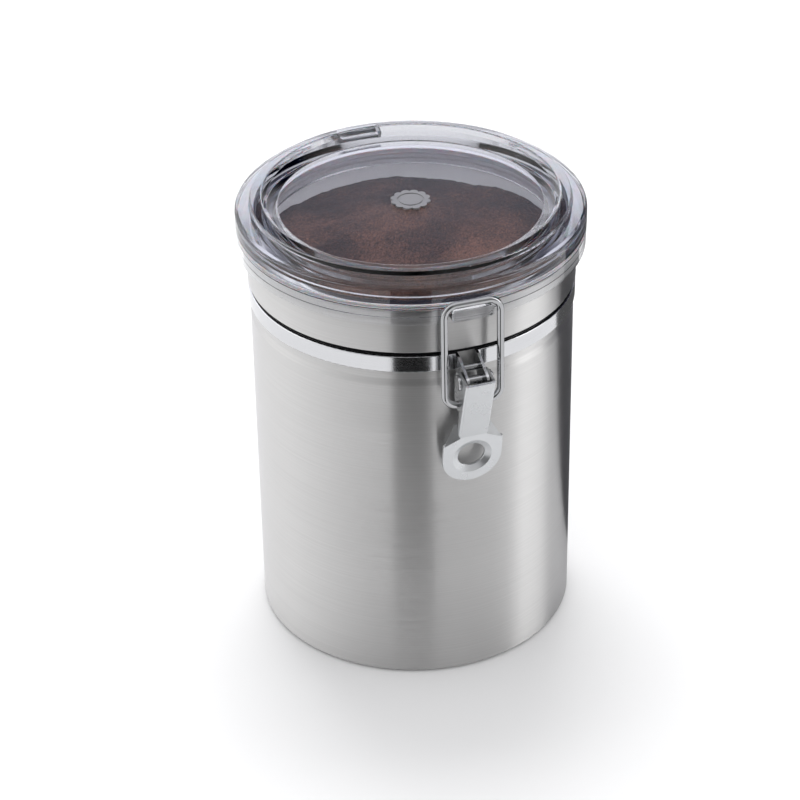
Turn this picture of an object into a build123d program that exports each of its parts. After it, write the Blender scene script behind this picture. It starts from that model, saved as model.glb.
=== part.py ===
from build123d import *

import os
from math import asin, atan2, cos, degrees, pi, radians, sin, sqrt

# Food canister: brushed steel can, clear hinged lid, strap round the neck, wire-bail clamp.
# Millimetres. Z is the can's axis, the origin is the middle of its flat base, the clamp is
# at -Y and the hinge at +Y. "out" is the distance from the axis towards -Y or +Y.

# Can
BODY_RADIUS = 60.0
WALL = 0.8
BODY_FOOT = 0.6                 # the tube's rolled edge stays this far above the floor
GROOVE_RADIUS = 59.3            # outside of the waist that holds the strap
GROOVE_LOW = 130.5
GROOVE_HIGH = 141.6
NECK_RADIUS = 60.7
NECK_TOP = 160.0
BASE_RADIUS = 57.2              # flat that stands on the floor
BASE_THICKNESS = 0.8
BASE_FLANGE_TOP = 7.0

# Strap and its folded ends
BAND_LOW = 134.0
BAND_HIGH = 140.5
BAND_INNER = 59.45
BAND_THICKNESS = 1.1
BAND_OUTER = BAND_INNER + BAND_THICKNESS
CHEEK_GAP = 6.4                 # between the inner faces of the two cheeks
CHEEK_THICKNESS = 1.0
STRAP_RIVET = (63.9, 136.2)     # out, height
STRAP_RIVET_RADIUS = 1.4

# Clamp lever
PIVOT = (68.3, 133.4)           # lever pivot: out, height
PIN_RADIUS = 1.8
PIN_HEAD_RADIUS = 2.9
PIN_HEAD = 0.9
LEVER_WIDTH = 11.2
LEVER_SHEET = 1.0
LEVER_EDGE = 0.8                # rounding of the bends between plate and ears
EAR_INSIDE = LEVER_WIDTH / 2 - LEVER_SHEET
RUN_FIT = 0.06                  # radial clearance of a pin in its hole
PLATE_TOP = (75.6, 135.3)       # outer corner of the lever's front plate
PLATE_FOLD = (67.6, 109.6)      # where the front plate turns into the finger tab
TAB_CENTRE = (66.1, 99.9)
EAR_TOP_BACK = (64.6, 136.9)     # back corners of the lever's side ears
EAR_LOW_BACK = (62.9, 126.0)
TAB_RADIUS = 11.2
TAB_HOLE_RADIUS = 5.1
TAB_DISH_RADIUS = 7.4
TAB_DISH_DEPTH = 1.1
FIN_LENGTH = 5.2
FIN_BEND = 35.0                 # how far the fins lean back, in degrees

# Wire bail
BAIL_HINGE = (66.8, 123.4)      # where the wire ends turn in the ears: out, height
BAIL_TOP = (66.0, 163.7)        # centre of the bar that presses on the lid's lug
WIRE_RADIUS = 1.3
BAIL_HALF_WIDTH = 10.4          # centre of a leg from the middle
BAIL_BEND = 4.6
WIRE_END = EAR_INSIDE - 1.2     # a wire end reaches this far from the middle
WIRE_BUTTON_RADIUS = 1.9
WIRE_BUTTON = 0.8

# Lid
LID_RADIUS = 64.3
SKIRT_BOTTOM = 155.0
SKIRT_INNER = 61.9
SKIRT_STEP = 0.35               # two steps inside the skirt
SHOULDER = 163.0                # underside that presses the gasket on the rim
CREST = 174.5
CREST_INNER = 53.3
CREST_OUTER = 58.5
WINDOW_RADIUS = 48.7
WINDOW_TOP = 170.4
WINDOW_THICKNESS = 2.6
PLUG_BOTTOM = 156.5
PLUG_OUTER = 56.4
PLUG_INNER = 52.6
LUG_WIDTH = 15.4
LUG_OUT = 68.0
LUG_LOW = 157.4
LUG_GAP = 0.2                   # between the lug's top and the bail's bar
LUG_TOP = BAIL_TOP[1] - WIRE_RADIUS - LUG_GAP

# Gasket and badge
GASKET_INNER = PLUG_OUTER + 0.1
GASKET_OUTER = 61.4
GASKET_GAP = 0.2
GASKET_LIP = 0.9                # depth of the groove between its two lips
BADGE_RADIUS = 7.4
BADGE_HEIGHT = 0.6
BADGE_LOBES = 12
BADGE_LOBE_RADIUS = 1.7
BADGE_RING = 4.6                # middle of the groove on its face
BADGE_GROOVE = 0.7

# Rear hinge
HINGE = (68.0, 158.0)           # pin: out, height
HINGE_PIN_RADIUS = 1.5
KNUCKLE_RADIUS = 3.5
HINGE_EAR_SHEET = 1.2
HINGE_EAR_GAP = 0.4             # beside the lid's knuckle
SADDLE_HALF_ANGLE = 17.0        # of the bracket's curved back, in degrees
SADDLE_SHEET = 1.0
SADDLE_LOW = 131.5
SADDLE_HIGH = 141.3
BRACKET_RIVET_ANGLE = 13.0
BRACKET_RIVET_RADIUS = 1.6
RIVET_GRIP = SADDLE_SHEET + BAND_THICKNESS + 0.1

CLAMP_SIDE = Plane(origin=(0, 0, 0), x_dir=(0, -1, 0), z_dir=(-1, 0, 0))
HINGE_SIDE = Plane(origin=(0, 0, 0), x_dir=(0, 1, 0), z_dir=(1, 0, 0))


def outline(corners):
    """Closed face in the XY plane from corners (x, y, corner radius)."""
    points = [(x, y) for x, y, _ in corners]
    return make_face(FilletPolyline(*points, radius=[c for _, _, c in corners], close=True))


def turned(*corners):
    """Solid of revolution about Z from corners (radius, height, corner radius)."""
    return revolve(Plane.XZ * outline(corners), Axis.Z)


def side_plate(side, middle, thickness, *corners):
    """Flat plate across X, centred on x = middle, from corners (out, height, corner radius)."""
    return Pos(middle, 0, 0) * extrude(side * outline(corners), thickness / 2, both=True)


def cross_rod(side, place, radius, x_low, x_high):
    """Rod along X at place (out, height), from x_low to x_high."""
    rod = extrude(side * Pos(*place) * Circle(radius), (x_high - x_low) / 2, both=True)
    return Pos((x_low + x_high) / 2, 0, 0) * rod


def rear_sector(inner, outer, low, high, half_angle):
    """Part of a ring, half_angle each side of the hinge side's middle, in degrees."""
    ring = Pos(0, 0, (low + high) / 2) * (
        Cylinder(outer, high - low) - Cylinder(inner, high - low)
    )
    reach = 2 * outer
    wedge_corners = [(0, 0)] + [
        (reach * sin(radians(a)), reach * cos(radians(a)))
        for a in (-half_angle, half_angle)
    ]
    wedge = extrude(make_face(Polyline(*wedge_corners, close=True)), high)
    return ring & wedge


def can_body():
    inner = BODY_RADIUS - WALL
    waist = GROOVE_RADIUS - WALL
    neck = NECK_RADIUS - WALL
    rim = neck - 1.3
    return turned(
        (BODY_RADIUS - 2.4, BODY_FOOT, 0.3),
        (BODY_RADIUS, BODY_FOOT, 1.2),
        (BODY_RADIUS, GROOVE_LOW - 2.4, 2.0),
        (GROOVE_RADIUS, GROOVE_LOW, 2.0),
        (GROOVE_RADIUS, GROOVE_HIGH, 0.4),
        (NECK_RADIUS, GROOVE_HIGH + 0.7, 0.5),
        (NECK_RADIUS, NECK_TOP, 0.9),
        (rim, NECK_TOP, 0.9),
        (rim, NECK_TOP - 2.1, 0.6),
        (neck, NECK_TOP - 2.9, 0.6),
        (neck, GROOVE_HIGH + 1.6, 0.5),
        (waist, GROOVE_HIGH + 0.7, 0.5),
        (waist, GROOVE_LOW + 0.2, 1.5),
        (inner, GROOVE_LOW - 2.2, 1.5),
        (inner, BODY_FOOT + WALL, 0.5),
        (BODY_RADIUS - 2.4, BODY_FOOT + WALL, 0.3),
    )


def base_disc():
    flange_outer = BODY_RADIUS - WALL - 0.05
    flange_inner = flange_outer - BASE_THICKNESS
    return turned(
        (0, 0, 0),
        (BASE_RADIUS, 0, 0.5),
        (BASE_RADIUS, BODY_FOOT + WALL + 0.05, 0),
        (flange_outer, BODY_FOOT + WALL + 0.05, 0.6),
        (flange_outer, BASE_FLANGE_TOP, 0.2),
        (flange_inner, BASE_FLANGE_TOP, 0.2),
        (flange_inner, BODY_FOOT + 2 * WALL + 0.05, 0.8),
        (BASE_RADIUS - BASE_THICKNESS, BODY_FOOT + 2 * WALL + 0.05, 0.3),
        (BASE_RADIUS - BASE_THICKNESS - 0.8, BASE_THICKNESS, 0.3),
        (0, BASE_THICKNESS, 0),
    )


def cheek(hand):
    """One folded end of the strap, a fin that carries the lever's pin. hand is -1 or 1."""
    out, height = PIVOT
    middle = hand * (CHEEK_GAP + CHEEK_THICKNESS) / 2
    fin = side_plate(
        CLAMP_SIDE, middle, CHEEK_THICKNESS,
        (BAND_INNER + 0.4, BAND_LOW, 0),
        (BAND_INNER + 0.4, BAND_HIGH, 0),
        (63.0, BAND_HIGH - 0.4, 1.5),
        (out + 4.6, height + 2.4, 2.4),
        (out + 4.4, height - 3.4, 3.0),
        (out - 2.6, height - 5.2, 3.0),
    )
    fin -= cross_rod(CLAMP_SIDE, PIVOT, PIN_RADIUS, middle - 2, middle + 2)
    fin -= cross_rod(CLAMP_SIDE, STRAP_RIVET, STRAP_RIVET_RADIUS, middle - 2, middle + 2)
    return fin


def neck_band():
    band = turned(
        (BAND_INNER, BAND_LOW, 0.1),
        (BAND_OUTER, BAND_LOW, 0.4),
        (BAND_OUTER, BAND_HIGH, 0.4),
        (BAND_INNER, BAND_HIGH, 0.1),
    )
    mouth = Pos(0, -BODY_RADIUS, (BAND_LOW + BAND_HIGH) / 2) * Box(CHEEK_GAP, 12, 20)
    for hand in (-1, 1):
        mouth += rivet_place(hand) * Cylinder(BRACKET_RIVET_RADIUS, 8)
    return band - mouth + cheek(-1) + cheek(1)


def strap_rivet():
    half = CHEEK_GAP / 2 + CHEEK_THICKNESS
    return cross_rod(CLAMP_SIDE, STRAP_RIVET, STRAP_RIVET_RADIUS - 0.02, -half, half)


def lever_pin():
    half = LEVER_WIDTH / 2 + 0.1
    shank = cross_rod(CLAMP_SIDE, PIVOT, PIN_RADIUS - RUN_FIT, -half, half)
    head = cross_rod(CLAMP_SIDE, PIVOT, PIN_HEAD_RADIUS, half, half + PIN_HEAD)
    head = fillet(head.edges().filter_by(GeomType.CIRCLE).sort_by(Axis.X)[-1], 0.6)
    return shank + head + mirror(head, Plane.YZ)


def toward(start, end, along, aside):
    """Point that is along the line from start to end, and aside to its left."""
    length = sqrt((end[0] - start[0]) ** 2 + (end[1] - start[1]) ** 2)
    x, y = (end[0] - start[0]) / length, (end[1] - start[1]) / length
    return (start[0] + along * x - aside * y, start[1] + along * y + aside * x)


def lever_ear(hand):
    """Deep side wall of the lever, which turns on the pin and holds one end of the bail."""
    middle = hand * (LEVER_WIDTH - LEVER_SHEET) / 2
    top_front = toward(PLATE_TOP, PLATE_FOLD, 0.0, -LEVER_EDGE)
    low_front = toward(PLATE_TOP, PLATE_FOLD, 25.5, -LEVER_EDGE)
    low_back = toward(PLATE_TOP, PLATE_FOLD, 25.0, -2.0)
    flange = toward(PLATE_TOP, PLATE_FOLD, 16.2, -2.9)
    wall = side_plate(
        CLAMP_SIDE, middle, LEVER_SHEET,
        (*top_front, 0),
        (*EAR_TOP_BACK, 3.2),
        (*EAR_LOW_BACK, 3.5),
        (BAIL_HINGE[0] - 2.8, BAIL_HINGE[1] - 3.0, 2.4),
        (*flange, 1.0),
        (*low_back, 0.6),
        (*low_front, 0),
    )
    wall -= cross_rod(CLAMP_SIDE, PIVOT, PIN_RADIUS, middle - 2, middle + 2)
    return wall - cross_rod(CLAMP_SIDE, BAIL_HINGE, WIRE_RADIUS + RUN_FIT, middle - 2, middle + 2)


def lever():
    half = LEVER_WIDTH / 2
    reach = sqrt((PLATE_TOP[0] - PLATE_FOLD[0]) ** 2 + (PLATE_TOP[1] - PLATE_FOLD[1]) ** 2)
    down = ((PLATE_TOP[0] - PLATE_FOLD[0]) / reach, (PLATE_FOLD[1] - PLATE_TOP[1]) / reach)
    section = outline([
        (-half, -LEVER_SHEET, 0), (half, -LEVER_SHEET, 0),
        (half, 0, LEVER_EDGE), (-half, 0, LEVER_EDGE),
    ])
    top = Plane(origin=(0, -PLATE_TOP[0], PLATE_TOP[1]), x_dir=(1, 0, 0), z_dir=(0, *down))
    plate = extrude(top * section, reach)
    return plate + lever_ear(-1) + lever_ear(1) + finger_tab(half)


def finger_tab(half):
    """Round tab with a dished hole, and two fins bent back beside the lever's plate."""
    fold = (PLATE_FOLD[0] - TAB_CENTRE[0], PLATE_FOLD[1] - TAB_CENTRE[1])
    lean = degrees(atan2(*fold))
    rise = sqrt(fold[0] ** 2 + fold[1] ** 2)
    shoulder = (TAB_RADIUS, rise - 2.6)
    right = [(half, rise), shoulder, (TAB_RADIUS, 0)]
    left = [(-x, y) for x, y in reversed(right)]
    face = make_face(Polyline(*right, *left, close=True)) + Circle(TAB_RADIUS)
    sheet = extrude(face, -LEVER_SHEET)
    dish = turned(
        (TAB_HOLE_RADIUS, -LEVER_SHEET - TAB_DISH_DEPTH, 0.2),
        (TAB_HOLE_RADIUS, -TAB_DISH_DEPTH, 0.3),
        (TAB_DISH_RADIUS, 0.0, 0),
        (TAB_DISH_RADIUS + 0.4, -LEVER_SHEET, 0),
        (TAB_HOLE_RADIUS + 0.9, -LEVER_SHEET - TAB_DISH_DEPTH, 0.2),
    )
    sheet = sheet - Pos(0, 0, -LEVER_SHEET / 2) * Cylinder(TAB_DISH_RADIUS, 4) + dish
    base = sqrt((shoulder[0] - half) ** 2 + (shoulder[1] - rise) ** 2)
    turn = degrees(atan2(shoulder[1] - rise, shoulder[0] - half))
    fin = outline([(-0.4, -0.4, 0), (base - 0.1, -0.4, 0), (-1.0, FIN_LENGTH, 0.5),
                   (-2.2, FIN_LENGTH - 0.6, 0.3)])
    fin = Rot(0, 0, turn) * Rot(-FIN_BEND, 0, 0) * extrude(fin, -LEVER_SHEET)
    fin = Pos(half, rise, 0) * fin
    sheet += fin + mirror(fin, Plane.YZ)
    stand = Plane(origin=(0, -TAB_CENTRE[0], TAB_CENTRE[1]), x_dir=(1, 0, 0), z_dir=(0, -1, 0))
    return stand * Rot(lean, 0, 0) * sheet


def bail():
    """Wire loop drawn in its own plane, then leaned so that its bar meets the lid's lug."""
    rise = sqrt((BAIL_TOP[0] - BAIL_HINGE[0]) ** 2 + (BAIL_TOP[1] - BAIL_HINGE[1]) ** 2)
    route = [
        (-WIRE_END, 0), (-BAIL_HALF_WIDTH, 0), (-BAIL_HALF_WIDTH, rise),
        (BAIL_HALF_WIDTH, rise), (BAIL_HALF_WIDTH, 0), (WIRE_END, 0),
    ]
    path = FilletPolyline(*route, radius=BAIL_BEND)
    profile = Plane(origin=path @ 0, z_dir=path % 0) * Circle(WIRE_RADIUS)
    wire = sweep(profile, path=path)
    button = cross_rod(CLAMP_SIDE, (0, 0), WIRE_BUTTON_RADIUS, WIRE_END - WIRE_BUTTON, WIRE_END)
    lean = degrees(asin((BAIL_TOP[0] - BAIL_HINGE[0]) / rise))
    stand = Plane(
        origin=(0, -BAIL_HINGE[0], BAIL_HINGE[1]), x_dir=(1, 0, 0), z_dir=(0, -1, 0)
    )
    wire = stand * Rot(lean, 0, 0) * wire
    button = Pos(0, -BAIL_HINGE[0], BAIL_HINGE[1]) * button
    return wire + button + mirror(button, Plane.YZ)


def hinge_bracket():
    """Curved saddle behind the strap's middle with two ears that rise to the pin."""
    saddle = rear_sector(
        BAND_OUTER + 0.05, BAND_OUTER + 0.05 + SADDLE_SHEET,
        SADDLE_LOW, SADDLE_HIGH, SADDLE_HALF_ANGLE,
    )
    out, height = HINGE
    inside = LUG_WIDTH / 2 + HINGE_EAR_GAP
    middle = inside + HINGE_EAR_SHEET / 2
    root = 60.0
    for hand in (-1, 1):
        ear = side_plate(
            HINGE_SIDE, hand * middle, HINGE_EAR_SHEET,
            (root, SADDLE_LOW, 0),
            (root, SADDLE_HIGH, 0),
            (63.6, SADDLE_HIGH + 1.5, 4.0),
            (out - KNUCKLE_RADIUS, height - 2.0, 1.0),
            (out - KNUCKLE_RADIUS, height + KNUCKLE_RADIUS, 3.0),
            (out + KNUCKLE_RADIUS, height + KNUCKLE_RADIUS, 3.0),
            (out + KNUCKLE_RADIUS, height - 5.0, 6.0),
            (65.0, SADDLE_LOW, 5.0),
        )
        ear -= Cylinder(BAND_OUTER + 0.05, 400)
        ear -= cross_rod(HINGE_SIDE, HINGE, HINGE_PIN_RADIUS, -20, 20)
        saddle += ear
    for hand in (-1, 1):
        saddle -= rivet_place(hand) * Cylinder(BRACKET_RIVET_RADIUS, 8)
    return saddle


def rivet_place(hand):
    """Frame at a bracket rivet, z pointing out of the can."""
    angle = radians(90 + hand * BRACKET_RIVET_ANGLE)
    out = BAND_OUTER + SADDLE_SHEET
    return Plane(
        origin=(out * cos(angle), out * sin(angle), (BAND_LOW + BAND_HIGH) / 2),
        x_dir=(0, 0, 1), z_dir=(cos(angle), sin(angle), 0),
    ).location


def bracket_rivets():
    """Two snap-head rivets, flush with the strap's inner face."""
    rivets = []
    for hand in (-1, 1):
        shank = Pos(0, 0, 0.1 - RIVET_GRIP / 2) * Cylinder(BRACKET_RIVET_RADIUS - 0.02, RIVET_GRIP)
        head = turned((0, 0.08, 0), (2.7, 0.08, 0.1), (2.2, 0.9, 0.5), (0, 1.1, 0))
        rivets.append(rivet_place(hand) * (shank + head))
    return Compound(rivets)


def hinge_pin():
    half = LUG_WIDTH / 2 + HINGE_EAR_GAP + HINGE_EAR_SHEET + 0.1
    shank = cross_rod(HINGE_SIDE, HINGE, HINGE_PIN_RADIUS - RUN_FIT, -half, half)
    head = cross_rod(HINGE_SIDE, HINGE, HINGE_PIN_RADIUS + 0.9, half, half + 0.9)
    head = fillet(head.edges().filter_by(GeomType.CIRCLE).sort_by(Axis.X)[-1], 0.6)
    return shank + head + mirror(head, Plane.YZ)


def lid():
    glass = turned(
        (0, WINDOW_TOP - WINDOW_THICKNESS, 0),
        (50.4, WINDOW_TOP - WINDOW_THICKNESS, 1.0),
        (51.2, SHOULDER - 0.4, 0.3),
        (51.9, SHOULDER - 0.8, 0.3),
        (52.2, SHOULDER - 3.4, 0.3),
        (PLUG_INNER, SHOULDER - 3.8, 0.3),
        (PLUG_INNER + 0.2, PLUG_BOTTOM, 0.6),
        (PLUG_OUTER - 0.5, PLUG_BOTTOM, 0.8),
        (PLUG_OUTER, SHOULDER, 0.2),
        (SKIRT_INNER - 0.3, SHOULDER, 0.4),
        (SKIRT_INNER - 0.2, SHOULDER - 1.8, 0),
        (SKIRT_INNER + SKIRT_STEP, SHOULDER - 2.0, 0),
        (SKIRT_INNER + SKIRT_STEP, SKIRT_BOTTOM + 3.2, 0),
        (SKIRT_INNER + 2 * SKIRT_STEP, SKIRT_BOTTOM + 3.0, 0),
        (SKIRT_INNER + 2 * SKIRT_STEP, SKIRT_BOTTOM, 0.3),
        (LID_RADIUS - 0.3, SKIRT_BOTTOM, 0.8),
        (LID_RADIUS, SKIRT_BOTTOM + 9.0, 2.0),
        (LID_RADIUS, CREST - 4.6, 1.6),
        (LID_RADIUS - 1.3, CREST - 3.7, 0.3),
        (CREST_OUTER + 0.5, CREST - 2.2, 0.3),
        (CREST_OUTER, CREST - 0.5, 0.6),
        (CREST_INNER + 1.2, CREST, 1.0),
        (CREST_INNER - 0.5, CREST - 1.6, 0.5),
        (WINDOW_RADIUS, WINDOW_TOP, 0.6),
        (0, WINDOW_TOP, 0),
    )
    keep_clear = Pos(0, 0, PLUG_BOTTOM) * Cylinder(SKIRT_INNER + 0.4, 20)
    return glass + (front_lug() - keep_clear) + (rear_lug() - keep_clear)


def front_lug():
    """Block that the bail's bar presses on, with a shallow seat for the wire."""
    block = side_plate(
        CLAMP_SIDE, 0, LUG_WIDTH,
        (60.0, LUG_LOW, 0),
        (60.0, LUG_TOP + 0.1, 0),
        (LUG_OUT, LUG_TOP, 0.9),
        (LUG_OUT - 0.2, LUG_LOW, 1.4),
    )
    corners = block.edges().filter_by(Axis.Z, tolerance=12).sort_by(Axis.Y)[:2]
    return fillet(corners, 1.2)


def rear_lug():
    """Moulded knuckle that turns between the bracket's ears."""
    out, height = HINGE
    knuckle = side_plate(
        HINGE_SIDE, 0, LUG_WIDTH,
        (60.0, height - 1.2, 0),
        (60.0, height + KNUCKLE_RADIUS + 1.5, 0),
        (out - 2.0, height + KNUCKLE_RADIUS + 0.8, 2.0),
        (out + KNUCKLE_RADIUS, height + KNUCKLE_RADIUS - 0.4, 3.0),
        (out + KNUCKLE_RADIUS, height - KNUCKLE_RADIUS, 3.2),
        (out - KNUCKLE_RADIUS + 0.4, height - KNUCKLE_RADIUS, 2.2),
    )
    return knuckle - cross_rod(HINGE_SIDE, HINGE, HINGE_PIN_RADIUS, -20, 20)


def gasket():
    """Ring with two lips outside and a groove between them."""
    low = NECK_TOP + GASKET_GAP
    high = SHOULDER - 0.1
    middle = (low + high) / 2
    return turned(
        (GASKET_INNER, low, 0.3),
        (GASKET_OUTER, low, 0.3),
        (GASKET_OUTER, middle - 0.4, 0.2),
        (GASKET_OUTER - GASKET_LIP, middle - 0.2, 0),
        (GASKET_OUTER - GASKET_LIP, middle + 0.2, 0),
        (GASKET_OUTER, middle + 0.4, 0.2),
        (GASKET_OUTER, high, 0.3),
        (GASKET_INNER, high, 0.2),
    )


def badge():
    """Small scalloped rosette on the window."""
    reach = BADGE_RADIUS - BADGE_LOBE_RADIUS
    ring = Circle(reach)
    for lobe in range(BADGE_LOBES):
        angle = 2 * pi * lobe / BADGE_LOBES
        ring += Pos(reach * cos(angle), reach * sin(angle)) * Circle(BADGE_LOBE_RADIUS)
    plate = extrude(ring, BADGE_HEIGHT)
    outer, inner = BADGE_RING + BADGE_GROOVE / 2, BADGE_RING - BADGE_GROOVE / 2
    plate -= Pos(0, 0, BADGE_HEIGHT) * (Cylinder(outer, 0.5) - Cylinder(inner, 0.5))
    return Pos(0, 0, WINDOW_TOP + 0.02) * plate


PARTS = {
    "can_body": can_body,
    "base_disc": base_disc,
    "neck_band": neck_band,
    "strap_rivet": strap_rivet,
    "lever_pin": lever_pin,
    "lever": lever,
    "bail": bail,
    "hinge_bracket": hinge_bracket,
    "bracket_rivets": bracket_rivets,
    "hinge_pin": hinge_pin,
    "lid": lid,
    "gasket": gasket,
    "badge": badge,
}

os.makedirs("parts", exist_ok=True)
for name, make in PARTS.items():
    export_step(make(), os.path.join("parts", name + ".step"))
    print(name, "written")
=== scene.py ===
from math import cos, pi, radians, sin, tau

import bmesh
import bpy
from mathutils import Matrix, Vector, noise


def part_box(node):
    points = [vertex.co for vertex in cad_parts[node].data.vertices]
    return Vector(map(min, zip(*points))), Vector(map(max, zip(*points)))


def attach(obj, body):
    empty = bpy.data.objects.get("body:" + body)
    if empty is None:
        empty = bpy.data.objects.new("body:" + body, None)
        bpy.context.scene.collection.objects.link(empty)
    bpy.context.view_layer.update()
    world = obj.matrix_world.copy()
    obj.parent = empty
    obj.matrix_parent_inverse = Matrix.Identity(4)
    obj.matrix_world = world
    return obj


# Looks of a clamp canister for ground coffee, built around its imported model. Metres, in the
# model's own frame: Z is the can's axis, the clamp is at -Y and the hinge at +Y.

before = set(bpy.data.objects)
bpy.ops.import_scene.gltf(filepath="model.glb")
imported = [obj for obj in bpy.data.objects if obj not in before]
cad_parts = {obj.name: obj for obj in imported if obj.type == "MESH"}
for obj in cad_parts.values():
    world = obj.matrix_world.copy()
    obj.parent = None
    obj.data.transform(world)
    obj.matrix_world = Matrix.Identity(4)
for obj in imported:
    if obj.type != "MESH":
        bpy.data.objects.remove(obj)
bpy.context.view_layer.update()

# Steel
QUARTER_TURN = 0.25             # of the shader's tangent: its highlights spread along Z
INWARD_LIMIT = -0.02            # the can's inner walls have a normal times place under this
# the inside is matt metal, and its colour is painted paler as painted light standing in for light
# from above on the inner wall
INSIDE_MATT_PAINTED_LIGHT_COLOUR = (0.86, 0.86, 0.88, 1)
INSIDE_ROUGHNESS = 0.75
INSIDE_METALLIC = 0.15
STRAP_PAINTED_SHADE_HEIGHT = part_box("neck_band")[1].z + 0.0008    # middle of the band of painted shade over the strap
STRAP_PAINTED_SHADE_HALF = 0.0009
# painted shade: a dark band painted on the can just over the strap, where a deeper groove would
# cast its shadow
STRAP_PAINTED_SHADE_COLOUR = (0.03, 0.03, 0.032, 1)
STRAP_PAINTED_SHADE_ROUGHNESS = 0.7

# Coffee
COFFEE_RINGS = 90
COFFEE_SIDES = 256
COFFEE_BELOW_RIM = 0.0125
COFFEE_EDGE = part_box("can_body")[1].z - COFFEE_BELOW_RIM    # its height at the wall
COFFEE_RISE = 0.0045            # of the heap's middle over its edge
COFFEE_DEPTH = 0.006
COFFEE_WALL_GAP = 0.0004
CAN_INNER_RADIUS = 0.0592
HEAP_HEIGHT = 0.0022
HEAPS_PER_METRE = 28
RIDGE_HEIGHT = 0.0009
RIDGES_PER_METRE = 110
GRAIN_HEIGHT = 0.0003
GRAINS_PER_METRE = 900

# Camera
CAMERA_PLACE = (-0.2739, -0.8221, 0.6329)
CAMERA_AZIMUTH = -18.09         # 0 looks along +Y
CAMERA_PITCH = 32.33            # below the horizon
CAMERA_ROLL = 0.96
SENSOR = 36.0
LENS = 120.9
CLIP_NEAR = 0.05
CLIP_FAR = 50

# Studio: azimuths are degrees from the camera's side, positive to the right
FLOOR_RADIUS = 4.0
FLOOR_SIDES = 96
FLOOR_COLOUR = (0.91, 0.91, 0.915)
FLAG_STEPS = 12
FLAG_LIFT = 0.001
KEY_AZIMUTH = -171
KEY_ELEVATION = 67
KEY_DISTANCE = 2.2
KEY_SIZE = 0.9
KEY_POWER = 22
KEY_AIM = (0, 0, 0.08)
WORLD_STRENGTH = 2.4
VISIBLE_BACKGROUND = 0.95       # what the camera itself sees behind the floor
DOME = (0.36, 0.36, 0.362, 1)   # what lights matt things, the floor above all
CEILING = (0.45, 0.45, 0.46, 1)
CEILING_RISE = ((46, 0.0), (66, 1.0))       # (elevation, share)
CEILING_THROUGH_LID = (2.5, 2.5, 2.53, 1)   # a lamp's own light does not get through the lid
CEILING_THROUGH_LID_RISE = ((18, 0.0), (40, 1.0))
LID_CROSSED_TWICE = 3.5         # each crossing is two transmissions, in and out
BOUNCED_OFF_MATT = 0.5
SURROUND = (                    # (azimuth, brightness)
    (-180, (0.3, 0.3, 0.31)),
    (-150, (0.7, 0.7, 0.71)),
    (-118, 0.74),
    (-95, 0.7),
    (-55, 0.36),
    (-25, 0.16),
    (3, 0.0),
    (20, 0.16),
    (68, 0.12),
    (76, 1.05),
    (97, 1.05),
    (103, (0.0, 0.0, 0.01)),
    (180, (0.0, 0.0, 0.01)),
)
REAR = ((-165, 1.0), (-115, 0.0), (140, 0.0), (168, 1.0))      # (azimuth, backdrop's share)
BACKDROP = (                    # (elevation, brightness)
    (22, (0.6, 0.6, 0.64)),
    (27, (0.22, 0.22, 0.26)),
    (30, (0.05, 0.05, 0.065)),
    (37.5, (0.01, 0.01, 0.015)),
    (41, (0.35, 0.35, 0.36)),
)


# ---------------------------------------------------------------- nodes

class Nodes:
    """A node tree with short ways to add and join nodes."""

    def __init__(self, tree):
        self.tree = tree
        tree.nodes.clear()

    def add(self, kind, inputs=None, **settings):
        node = self.tree.nodes.new(kind)
        for name, value in settings.items():
            setattr(node, name, value)
        for name, value in (inputs or {}).items():
            self.put(node, name, value)
        return node

    def put(self, node, name, value):
        """Sets or links an input; a node stands for its first output."""
        socket = node.inputs[name]
        if isinstance(value, bpy.types.Node):
            value = value.outputs[0]
        if isinstance(value, bpy.types.NodeSocket):
            self.tree.links.new(value, socket)
        else:
            socket.default_value = value

    def maths(self, operation, *values):
        return self.add("ShaderNodeMath", dict(enumerate(values)), operation=operation)

    def mix_values(self, share, first, second):
        """From first to second by share; inputs 2 and 3 of this node are its numbers."""
        return self.add("ShaderNodeMix", {0: share, 2: first, 3: second})

    def mix_colours(self, share, first, second):
        """From first to second by share; inputs 6 and 7 and output 2 are its colours."""
        node = self.add("ShaderNodeMix", {0: share, 6: first, 7: second}, data_type="RGBA")
        return node.outputs[2]

    def ramp(self, value, *stops):
        """Colour ramp over value; each stop is (position, grey or colour)."""
        node = self.add("ShaderNodeValToRGB", {"Fac": value})
        elements = node.color_ramp.elements
        while len(elements) < len(stops):
            elements.new(1.0)
        for element, (position, colour) in zip(elements, stops):
            element.position = position
            element.color = (*([colour] * 3 if isinstance(colour, float) else colour), 1)
        return node

    def span(self, value, low, high):
        """A noise value of about 0.25 to 0.75 spread over low to high."""
        return self.add(
            "ShaderNodeMapRange",
            {"Value": value, "From Min": 0.25, "From Max": 0.75, "To Min": low, "To Max": high},
        )

    def noise(self, place, scale, detail=3.0, roughness=0.5):
        stretched = self.add("ShaderNodeMapping", {"Vector": place, "Scale": scale})
        return self.add(
            "ShaderNodeTexNoise",
            {"Vector": stretched, "Scale": 1.0, "Detail": detail, "Roughness": roughness},
        )

    def bump(self, shader, height, strength, distance):
        relief = {"Height": height, "Strength": strength, "Distance": distance}
        self.put(shader, "Normal", self.add("ShaderNodeBump", relief))


def new_material(name, constants):
    """A material with a Principled shader; constants are that shader's fixed inputs."""
    material = bpy.data.materials.new(name)
    material.use_nodes = True
    nodes = Nodes(material.node_tree)
    output = nodes.add("ShaderNodeOutputMaterial")
    shader = nodes.add("ShaderNodeBsdfPrincipled", constants)
    nodes.put(output, "Surface", shader)
    place = nodes.add("ShaderNodeTexCoord").outputs["Object"]
    return material, nodes, shader, place


# ---------------------------------------------------------------- materials

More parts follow.
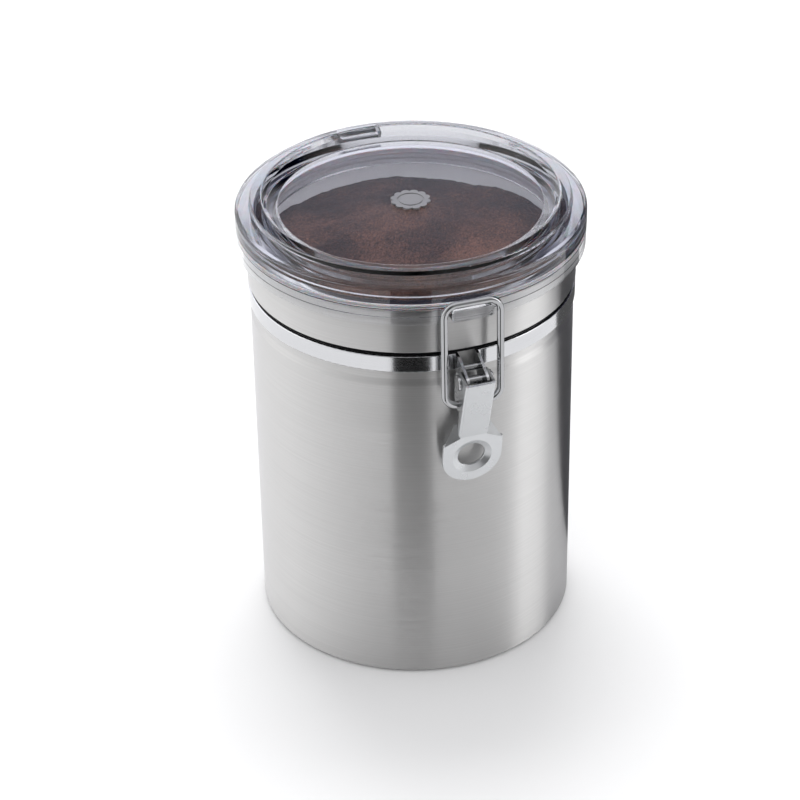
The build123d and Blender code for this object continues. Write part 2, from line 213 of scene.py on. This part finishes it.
def blend(nodes, shader, where, colour, roughness):
    """Takes the shader to another colour and roughness where the mask is 1."""
    before = shader.inputs["Base Color"].links[0].from_socket
    nodes.put(shader, "Base Color", nodes.mix_colours(where, before, colour))
    before = shader.inputs["Roughness"].links[0].from_socket
    nodes.put(shader, "Roughness", nodes.mix_values(where, before, roughness))


def shade_can(nodes, shader, place):
    """Matt metal inside the can, painted pale as painted light on the inner wall, and a dark band
    of painted shade over the strap.
    """
    parts = nodes.add("ShaderNodeSeparateXYZ", {"Vector": place})
    outward = nodes.add("ShaderNodeCombineXYZ", {"X": parts.outputs["X"], "Y": parts.outputs["Y"]})
    facing = nodes.add(
        "ShaderNodeVectorMath",
        {0: nodes.add("ShaderNodeNewGeometry").outputs["Normal"], 1: outward},
        operation="DOT_PRODUCT",
    ).outputs["Value"]
    inside = nodes.maths("LESS_THAN", facing, INWARD_LIMIT)
    # painted light: inner walls get a paler colour, besides their real matt roughness and lower
    # metallic
    blend(nodes, shader, inside, INSIDE_MATT_PAINTED_LIGHT_COLOUR, INSIDE_ROUGHNESS)
    lost = nodes.maths("MULTIPLY", inside, 1 - INSIDE_METALLIC)
    nodes.put(shader, "Metallic", nodes.maths("SUBTRACT", 1.0, lost))
    # painted shade: darkens a thin band of the can just over the strap
    above = nodes.maths("SUBTRACT", parts.outputs["Z"], STRAP_PAINTED_SHADE_HEIGHT)
    painted_shade = nodes.maths("LESS_THAN", nodes.maths("ABSOLUTE", above), STRAP_PAINTED_SHADE_HALF)
    blend(nodes, shader, painted_shade, STRAP_PAINTED_SHADE_COLOUR, STRAP_PAINTED_SHADE_ROUGHNESS)


def brushed_steel(name, colour, roughness, streak, anisotropy, is_can=False):
    """Steel with fine brush lines that run round the Z axis."""
    material, nodes, shader, place = new_material(
        name, {"Metallic": 1.0, "Anisotropic": anisotropy}
    )
    lines = nodes.noise(place, (14, 14, 2600), detail=4.0, roughness=0.65)
    cloud = nodes.noise(place, (9, 9, 30), detail=2.0)
    dark = tuple(c * (1 - streak) for c in colour)
    light = tuple(min(1.0, c * (1 + streak)) for c in colour)
    nodes.put(shader, "Base Color", nodes.ramp(lines, (0.3, dark), (0.7, light)))
    fine = nodes.span(lines, roughness * 0.8, roughness * 1.2)
    broad = nodes.span(cloud, -0.02, 0.02)
    nodes.put(shader, "Roughness", nodes.maths("ADD", fine, broad))
    if is_can:
        shade_can(nodes, shader, place)
    nodes.bump(shader, lines, strength=0.25, distance=0.00002)
    tangent = nodes.add("ShaderNodeTangent", direction_type="RADIAL", axis="Z")
    nodes.put(shader, "Tangent", tangent)
    shader.inputs["Anisotropic Rotation"].default_value = QUARTER_TURN
    return material


def polished_metal(name, colour, roughness):
    """Plated or polished metal with faint haze and hairline scratches."""
    material, nodes, shader, place = new_material(name, {"Metallic": 1.0})
    haze = nodes.noise(place, (160, 160, 160), detail=3.0)
    scratches = nodes.noise(place, (90, 2400, 700), detail=3.0, roughness=0.7)
    dark = tuple(c * 0.95 for c in colour)
    nodes.put(shader, "Base Color", nodes.ramp(haze, (0.3, dark), (0.7, colour)))
    hazed = nodes.span(haze, roughness * 0.7, roughness * 1.3)
    scratched = nodes.span(scratches, 0.0, 0.03)
    nodes.put(shader, "Roughness", nodes.maths("ADD", hazed, scratched))
    nodes.bump(shader, scratches, strength=0.05, distance=0.00001)
    return material


def clear_acrylic():
    """Clear moulded acrylic with a barely wavy surface, grey-blue where it is thick."""
    material, nodes, shader, place = new_material(
        "clear_acrylic",
        {"Base Color": (0.97, 0.972, 0.98, 1), "Transmission Weight": 1.0, "IOR": 1.49},
    )
    tint = nodes.add(
        "ShaderNodeVolumeAbsorption", {"Color": (0.17, 0.19, 0.29, 1), "Density": 34.0}
    )
    nodes.put(nodes.tree.nodes["Material Output"], "Volume", tint)
    haze = nodes.noise(place, (60, 60, 60), detail=3.0)
    nodes.put(shader, "Roughness", nodes.span(haze, 0.005, 0.03))
    waves = nodes.noise(place, (35, 35, 35), detail=1.0)
    nodes.bump(shader, waves, strength=0.1, distance=0.0002)
    return material


def silicone():
    """Pale translucent rubber with a fine grain."""
    material, nodes, shader, place = new_material(
        "silicone", {"Subsurface Weight": 0.4, "Subsurface Scale": 0.002, "IOR": 1.41}
    )
    grain = nodes.noise(place, (900, 900, 900), detail=2.0)
    tones = nodes.ramp(grain, (0.3, (0.4, 0.405, 0.42)), (0.7, (0.5, 0.505, 0.52)))
    nodes.put(shader, "Base Color", tones)
    nodes.put(shader, "Roughness", nodes.span(grain, 0.4, 0.55))
    return material


def ground_coffee():
    """Dark grains, each of its own tone, with paler and darker patches."""
    material, nodes, shader, place = new_material("ground_coffee", {"Specular IOR Level": 0.3})
    grains = nodes.add("ShaderNodeTexVoronoi", {"Vector": place, "Scale": 2100.0})
    patches = nodes.noise(place, (38, 38, 38), detail=5.0, roughness=0.6)
    mixed = nodes.maths(
        "ADD",
        nodes.maths("MULTIPLY", grains.outputs["Color"], 0.5),
        nodes.maths("MULTIPLY", nodes.span(patches, 0.0, 1.0), 0.5),
    )
    tones = nodes.ramp(
        mixed,
        (0.2, (0.006, 0.003, 0.0028)),
        (0.5, (0.034, 0.015, 0.012)),
        (0.8, (0.15, 0.07, 0.047)),
    )
    nodes.put(shader, "Base Color", tones)
    nodes.put(shader, "Roughness", nodes.span(patches, 0.7, 0.95))
    nodes.bump(shader, grains.outputs["Distance"], strength=0.8, distance=0.0006)
    return material


def paint(material, *names):
    """Gives CAD nodes a material."""
    for name in names:
        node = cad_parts[name]
        node.data.materials.clear()
        node.data.materials.append(material)


# ---------------------------------------------------------------- contents

def mesh_object(name, mesh):
    """Turns a bmesh into an object of the scene."""
    data = bpy.data.meshes.new(name)
    mesh.to_mesh(data)
    mesh.free()
    made = bpy.data.objects.new(name, data)
    bpy.context.scene.collection.objects.link(made)
    return made


def coffee_height(x, y):
    """Height of the coffee: a low dome with heaps, ridges and loose grains."""

    def at(per_metre, layer):
        return Vector((x * per_metre, y * per_metre, layer))

    radius = (x * x + y * y) ** 0.5 / CAN_INNER_RADIUS
    dome = COFFEE_RISE * (1 - radius ** 2)
    heaps = HEAP_HEIGHT * noise.noise(at(HEAPS_PER_METRE, 3.0))
    ridges = RIDGE_HEIGHT * noise.fractal(at(RIDGES_PER_METRE, 7.0), 1.0, 2.0, 3)
    grains = GRAIN_HEIGHT * noise.noise(at(GRAINS_PER_METRE, 1.0))
    return COFFEE_EDGE + dome + heaps + ridges + grains


def make_coffee():
    """The coffee's top as rings of faces round its middle, closed by a short side and a bottom."""
    mesh = bmesh.new()
    middle = mesh.verts.new((0, 0, coffee_height(0, 0)))
    rings = []
    reach = CAN_INNER_RADIUS - COFFEE_WALL_GAP
    for ring in range(1, COFFEE_RINGS + 1):
        radius = reach * ring / COFFEE_RINGS
        corners = []
        for side in range(COFFEE_SIDES):
            angle = tau * side / COFFEE_SIDES
            x, y = radius * cos(angle), radius * sin(angle)
            corners.append(mesh.verts.new((x, y, coffee_height(x, y))))
        rings.append(corners)
    low = [mesh.verts.new((v.co.x, v.co.y, COFFEE_EDGE - COFFEE_DEPTH)) for v in rings[-1]]
    rings.append(low)
    for side in range(COFFEE_SIDES):
        following = (side + 1) % COFFEE_SIDES
        mesh.faces.new((middle, rings[0][side], rings[0][following]))
        for inner, outer in zip(rings, rings[1:]):
            mesh.faces.new((inner[side], outer[side], outer[following], inner[following]))
    mesh.faces.new(list(reversed(low)))
    mesh.normal_update()
    coffee = mesh_object("coffee", mesh)
    coffee.data.shade_smooth()
    coffee.data.materials.append(ground_coffee())
    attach(coffee, "can")


# ---------------------------------------------------------------- studio

def make_floor():
    """A wide round floor of pale matt paint."""
    bpy.ops.mesh.primitive_circle_add(vertices=FLOOR_SIDES, radius=FLOOR_RADIUS, fill_type="NGON")
    floor = bpy.context.object
    floor.name = "floor"
    material, nodes, shader, place = new_material("floor_paint", {"Specular IOR Level": 0.2})
    cloud = nodes.noise(place, (3, 3, 3), detail=2.0)
    dull = tuple(c * 0.985 for c in FLOOR_COLOUR)
    nodes.put(shader, "Base Color", nodes.ramp(cloud, (0.3, dull), (0.7, FLOOR_COLOUR)))
    nodes.put(shader, "Roughness", nodes.span(cloud, 0.6, 0.7))
    floor.data.materials.append(material)


def make_flag(name, start, end, near, far, shade, through_lid):
    """Dark velvet on the floor from azimuth start to end and from radius near to far.

    Reflections see it, and so do rays through the lid where through_lid is True.
    """
    mesh = bmesh.new()
    rows = []
    for step in range(FLAG_STEPS + 1):
        angle = radians(CAMERA_AZIMUTH + start + (end - start) * step / FLAG_STEPS)
        across, back = sin(angle), -cos(angle)
        rows.append([mesh.verts.new((across * r, back * r, FLAG_LIFT)) for r in (near, far)])
    for one, two in zip(rows, rows[1:]):
        mesh.faces.new((one[0], one[1], two[1], two[0]))
    flag = mesh_object(name, mesh)
    velvet = {"Base Color": (shade, shade, shade, 1), "Roughness": 1.0, "Specular IOR Level": 0.0}
    flag.data.materials.append(new_material("velvet", velvet)[0])
    flag.visible_camera = False
    flag.visible_diffuse = False
    flag.visible_shadow = False
    flag.visible_transmission = through_lid


def over_azimuth(stops):
    """Ramp stops from stops in degrees of azimuth."""
    return [(azimuth / 360 + 0.5, value) for azimuth, value in stops]


def over_elevation(stops):
    """Ramp stops from stops in degrees of elevation."""
    return [(elevation / 90, value) for elevation, value in stops]


def studio_light(nodes, path):
    """Colour of the light from each direction, for each kind of ray.

    Reflections see a surround that changes with the compass direction, a backdrop behind
    the object and a ceiling. Matt things see an even dome, but those that are lit through
    the lid see a brighter and wider ceiling.
    """
    direction = nodes.add("ShaderNodeTexCoord").outputs["Generated"]
    turned = nodes.add(
        "ShaderNodeVectorRotate",
        {"Vector": direction, "Angle": radians(-CAMERA_AZIMUTH)},
        rotation_type="Z_AXIS",
    )
    parts = nodes.add("ShaderNodeSeparateXYZ", {"Vector": turned})
    toward = nodes.maths("MULTIPLY", parts.outputs["Y"], -1.0)
    around = nodes.maths("ARCTAN2", parts.outputs["X"], toward)
    compass = nodes.maths("ADD", nodes.maths("DIVIDE", around, tau), 0.5)
    height = nodes.maths("MULTIPLY", nodes.maths("ARCSINE", parts.outputs["Z"]), 2 / pi)

    through_lid = nodes.maths(
        "MULTIPLY",
        nodes.maths("GREATER_THAN", path.outputs["Transmission Depth"], LID_CROSSED_TWICE),
        nodes.maths("GREATER_THAN", path.outputs["Diffuse Depth"], BOUNCED_OFF_MATT),
    )
    walls = nodes.mix_colours(
        nodes.ramp(compass, *over_azimuth(REAR)),
        nodes.ramp(compass, *over_azimuth(SURROUND)),
        nodes.ramp(height, *over_elevation(BACKDROP)),
    )
    ceiling = nodes.mix_colours(through_lid, CEILING, CEILING_THROUGH_LID)
    cover = nodes.mix_values(
        through_lid,
        nodes.ramp(height, *over_elevation(CEILING_RISE)),
        nodes.ramp(height, *over_elevation(CEILING_THROUGH_LID_RISE)),
    )
    room = nodes.mix_colours(cover, walls, ceiling)
    return nodes.mix_colours(path.outputs["Is Diffuse Ray"], room, DOME)


def make_world():
    """The studio's light, with a plain pale background where the camera looks past the floor."""
    world = bpy.data.worlds.new("studio")
    bpy.context.scene.world = world
    world.use_nodes = True
    nodes = Nodes(world.node_tree)
    output = nodes.add("ShaderNodeOutputWorld")
    path = nodes.add("ShaderNodeLightPath")
    light = nodes.add(
        "ShaderNodeBackground", {"Color": studio_light(nodes, path), "Strength": WORLD_STRENGTH}
    )
    plain = nodes.add(
        "ShaderNodeBackground", {"Color": (1, 1, 1, 1), "Strength": VISIBLE_BACKGROUND}
    )
    seen = path.outputs["Is Camera Ray"]
    nodes.put(output, "Surface", nodes.add("ShaderNodeMixShader", {0: seen, 1: light, 2: plain}))


def make_key_light():
    """A softbox over the back, aimed at the can, which reflections do not see."""
    data = bpy.data.lights.new("top", "AREA")
    data.shape = "RECTANGLE"
    data.size = KEY_SIZE
    data.size_y = KEY_SIZE
    data.energy = KEY_POWER
    lamp = bpy.data.objects.new("top", data)
    bpy.context.scene.collection.objects.link(lamp)
    turn, rise = radians(CAMERA_AZIMUTH + KEY_AZIMUTH), radians(KEY_ELEVATION)
    back = Vector((sin(turn) * cos(rise), -cos(turn) * cos(rise), sin(rise)))
    lamp.location = Vector(KEY_AIM) + back * KEY_DISTANCE
    lamp.rotation_mode = "QUATERNION"
    lamp.rotation_quaternion = (-back).to_track_quat("-Z", "Y")
    lamp.visible_camera = False
    lamp.visible_glossy = False
    lamp.visible_transmission = False


def make_camera():
    """A long lens that looks down at the can from the clamp's side."""
    data = bpy.data.cameras.new("camera")
    data.sensor_width = SENSOR
    data.lens = LENS
    data.clip_start = CLIP_NEAR
    data.clip_end = CLIP_FAR
    camera = bpy.data.objects.new("camera", data)
    bpy.context.scene.collection.objects.link(camera)
    camera.location = CAMERA_PLACE
    turn, pitch = radians(CAMERA_AZIMUTH), radians(CAMERA_PITCH)
    forward = Vector((-sin(turn) * cos(pitch), cos(turn) * cos(pitch), -sin(pitch)))
    camera.rotation_mode = "QUATERNION"
    camera.rotation_quaternion = forward.to_track_quat("-Z", "Y")
    camera.rotation_quaternion @= Matrix.Rotation(radians(-CAMERA_ROLL), 3, "Z").to_quaternion()
    bpy.context.scene.camera = camera


satin_steel = brushed_steel(
    "satin_steel", (0.6, 0.596, 0.592), roughness=0.38, streak=0.06, anisotropy=1.0, is_can=True
)
polished_steel = brushed_steel(
    "polished_steel", (0.62, 0.625, 0.64), roughness=0.14, streak=0.03, anisotropy=0.6
)
satin_plating = polished_metal("satin_plating", (0.62, 0.632, 0.645), roughness=0.3)
plated_steel = polished_metal("plated_steel", (0.44, 0.445, 0.455), roughness=0.03)
badge_metal = polished_metal("badge_metal", (0.42, 0.42, 0.43), roughness=0.4)

paint(satin_steel, "can_body", "base_disc")
paint(polished_steel, "neck_band", "hinge_bracket")
paint(satin_plating, "lever")
paint(plated_steel, "bail", "strap_rivet", "lever_pin", "bracket_rivets", "hinge_pin")
paint(clear_acrylic(), "lid")
paint(silicone(), "gasket")
paint(badge_metal, "badge")
make_coffee()
make_floor()
make_flag("front_flag", start=-13, end=11, near=0.19, far=1.6, shade=0.01, through_lid=True)
make_flag("right_flag", start=110, end=162, near=0.07, far=1.6, shade=0.08, through_lid=False)
make_world()
make_key_light()
make_camera()
bpy.context.scene.view_settings.view_transform = "Standard"
